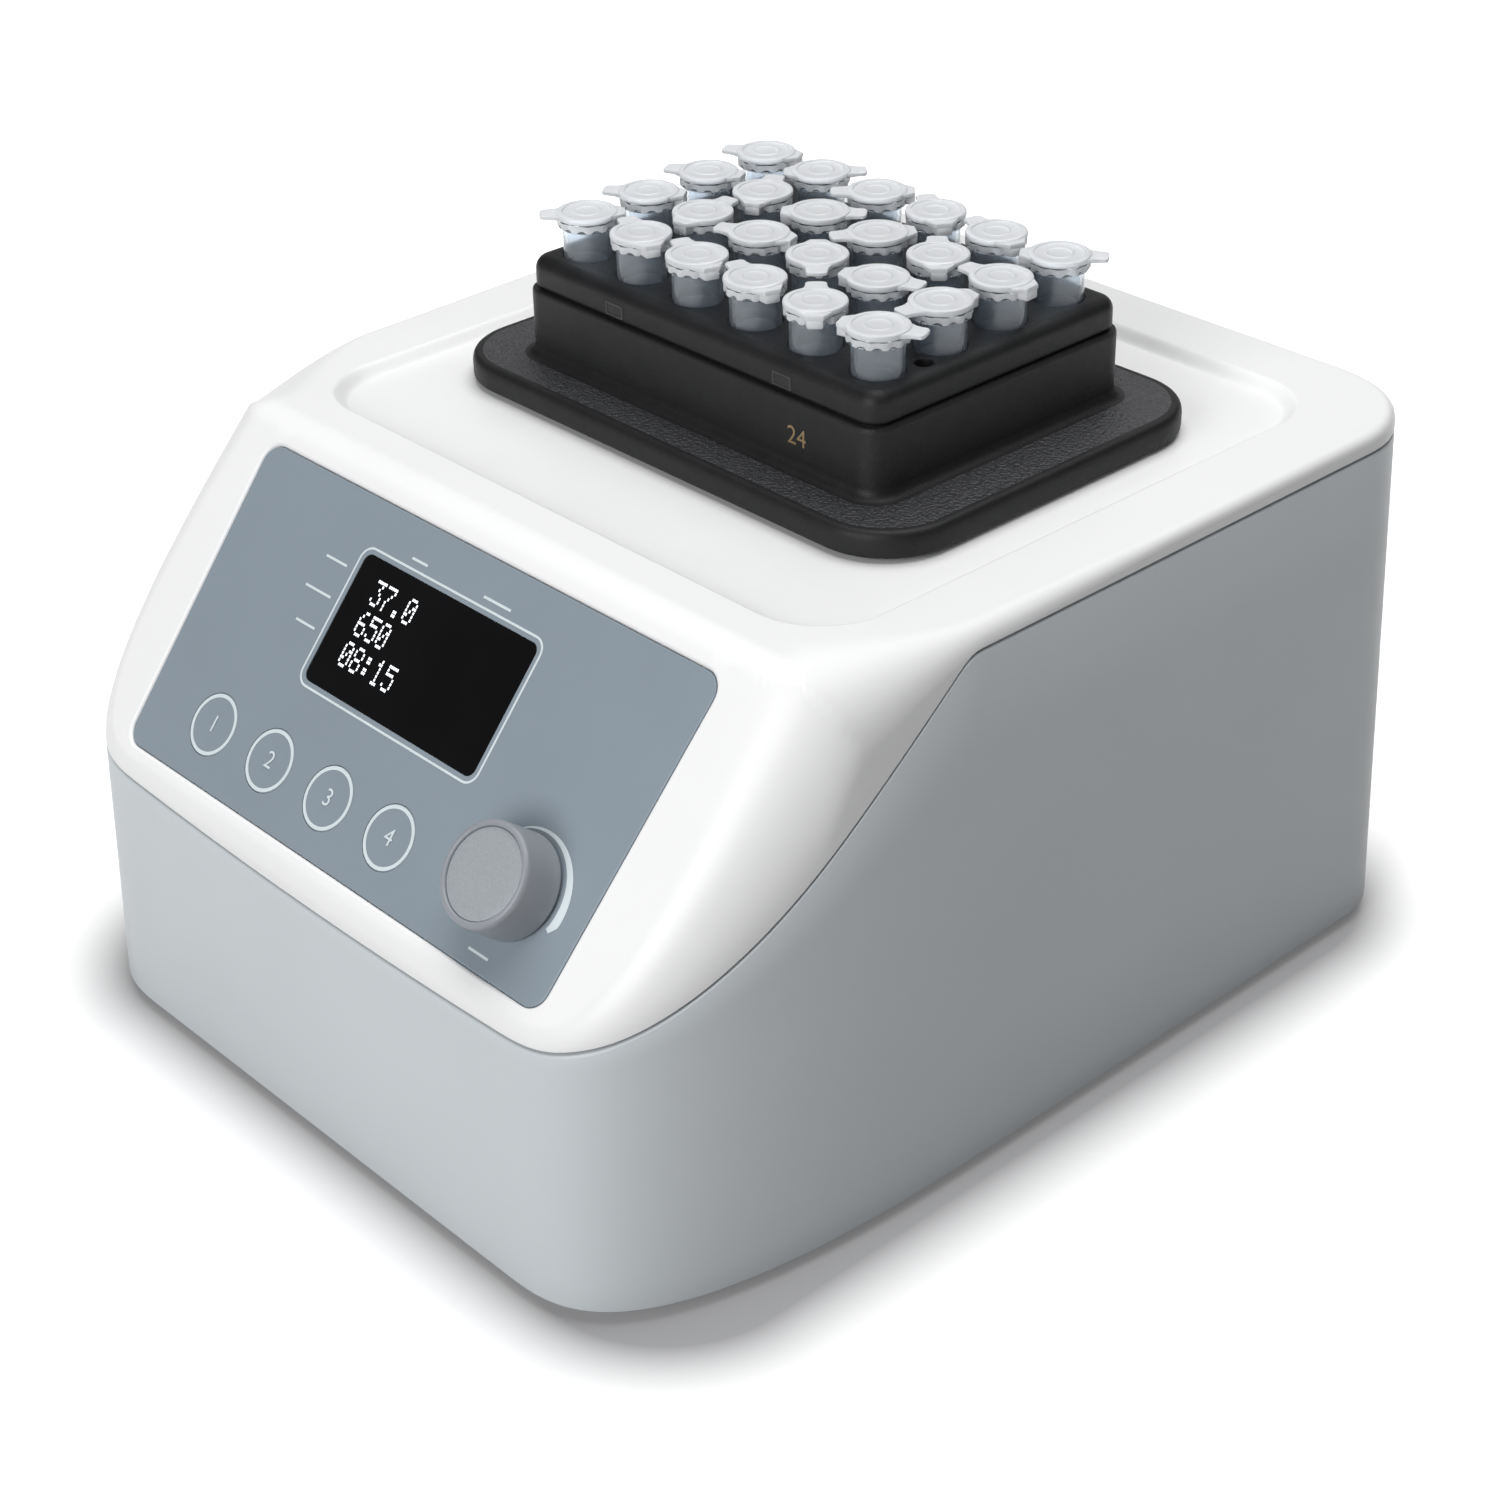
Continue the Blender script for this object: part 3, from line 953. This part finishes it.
def inlet_blades():
    mesh = Mesh()
    for x, z in BLADES:
        rings = []
        for g, deep in ((0, BLADE_ROOT), (0, 3.2), (0.25, 2.3), (0.5, 1.95)):
            w, h = BLADE_HALF_W - g, BLADE_HALF_H - g
            rings.append([(SOCKET_X + x + a * w, SOCKET_MOUTH - deep, SOCKET_Z + z + b * h)
                for a, b in ((1, -1), (-1, -1), (-1, 1), (1, 1))])
        mesh.face(mesh.loft(rings)[-1])
    build("inlet_blades", mesh, [BRASS], "housing")

inlet_blades()

# -------- floor, world, lights (in metres)
FLOOR_HALF = 3.0
FLOOR_SEEN, FLOOR_UNSEEN = (0.9, 0.9, 0.9, 1), (0.18, 0.18, 0.18, 1)
SHADOW_COLOR, SHADOW_POWER = (0.28, 0.28, 0.285, 1), 2.2
SHADOW_CENTRE, SHADOW_CORE = (0.003, 0.002, 0), (0.0707, 0.0875, 0)
SHADOW_START, SHADOW_END = 0.030, 0.060  # distances from the core where the shadow starts to fade and ends
GLOW_START, GLOW_END, GLOW_NEAR, GLOW_FAR = 0.08, 0.45, 0.45, 1.05

def any_of(tree, outputs):
    """1 where one of the outputs is 1"""
    found = outputs[0]
    for output in outputs[1:]:
        either = add_node(tree, "Math", operation="MAXIMUM")
        tree.links.new(found, either.inputs[0])
        tree.links.new(output, either.inputs[1])
        found = either.outputs[0]
    return found

def floor_material():
    """white where it is seen, with a soft shadow round the foot; darker as a source of light"""
    mat = bpy.data.materials.new("floor_white")
    mat.use_nodes = True
    tree = mat.node_tree
    tree.nodes.clear()
    link = tree.links.new
    rays = add_node(tree, "LightPath").outputs
    seen = any_of(tree, [rays["Is Camera Ray"], rays["Is Glossy Ray"], rays["Is Transmission Ray"]])
    distance = add_node(tree, "TexCoord").outputs["Object"]
    for operation, value in (("SUBTRACT", SHADOW_CENTRE), ("ABSOLUTE", None), ("SUBTRACT", SHADOW_CORE),
            ("MAXIMUM", (0, 0, 0)), ("LENGTH", None)):
        step = add_node(tree, "VectorMath", value and {1: value}, operation=operation)
        link(distance, step.inputs[0])
        distance = step.outputs["Value" if operation == "LENGTH" else "Vector"]
    fade = add_node(tree, "MapRange", {"From Min": SHADOW_START, "From Max": SHADOW_END,
        "To Min": 1, "To Max": 0})
    power = add_node(tree, "Math", {1: SHADOW_POWER}, operation="POWER")
    tint = add_node(tree, "Mix", {"A": FLOOR_SEEN, "B": SHADOW_COLOR}, data_type="RGBA")
    lift = add_node(tree, "MapRange", {"From Min": GLOW_START, "From Max": GLOW_END,
        "To Min": GLOW_NEAR, "To Max": GLOW_FAR})
    link(distance, fade.inputs["Value"])
    link(distance, lift.inputs["Value"])
    link(fade.outputs["Result"], power.inputs[0])
    link(power.outputs[0], tint.inputs["Factor"])
    lit, glow, both = add_node(tree, "BsdfDiffuse"), add_node(tree, "Emission"), add_node(tree, "AddShader")
    link(tint.outputs["Result"], lit.inputs["Color"])
    link(tint.outputs["Result"], glow.inputs["Color"])
    link(lift.outputs["Result"], glow.inputs["Strength"])
    link(lit.outputs[0], both.inputs[0])
    link(glow.outputs[0], both.inputs[1])
    unseen = add_node(tree, "BsdfDiffuse", {"Color": FLOOR_UNSEEN})
    link(mix_by(tree, seen, unseen, both), add_node(tree, "OutputMaterial").inputs["Surface"])
    return mat

def mix_by(tree, factor, first, second):
    mixed = add_node(tree, "MixShader")
    tree.links.new(factor, mixed.inputs[0])
    tree.links.new(first.outputs[0], mixed.inputs[1])
    tree.links.new(second.outputs[0], mixed.inputs[2])
    return mixed.outputs[0]

def make_floor():
    data = bpy.data.meshes.new("floor")
    s = FLOOR_HALF
    data.from_pydata([(-s, -s, 0), (s, -s, 0), (s, s, 0), (-s, s, 0)], [], [(0, 1, 2, 3)])
    data.materials.append(floor_material())
    new_object("floor", data)

def make_world():
    """white where the camera sees it, directly or through the tubes, and dim as a light"""
    world = bpy.data.worlds.new("studio")
    scene.world = world
    world.use_nodes = True
    tree = world.node_tree
    tree.nodes.clear()
    rays = add_node(tree, "LightPath").outputs
    seen = any_of(tree, [rays["Is Camera Ray"], rays["Is Transmission Ray"]])
    dim = add_node(tree, "Background", {"Color": (0.97, 0.98, 1.0, 1), "Strength": 0.08})
    white = add_node(tree, "Background", {"Color": (1, 1, 1, 1), "Strength": 1.0})
    tree.links.new(mix_by(tree, seen, dim, white), add_node(tree, "OutputWorld").inputs["Surface"])

def area_light(name, place, target, size, power):
    data = bpy.data.lights.new(name, "AREA")
    data.energy, data.size = power, size
    light = new_object(name, data)
    light.location = place
    light.rotation_euler = (Vector(target) - Vector(place)).to_track_quat("-Z", "Y").to_euler()

make_floor()
make_world()
area_light("key_front", (0.30, -1.36, 0.60), (0, 0, 0.06), size=0.9, power=16.0)
area_light("fill_back", (-0.95, 1.15, 0.48), (0, 0, 0.06), size=1.7, power=3.5)
area_light("top_soft", (0.05, 0.2, 1.35), (0, 0, 0.1), size=1.2, power=16.2)
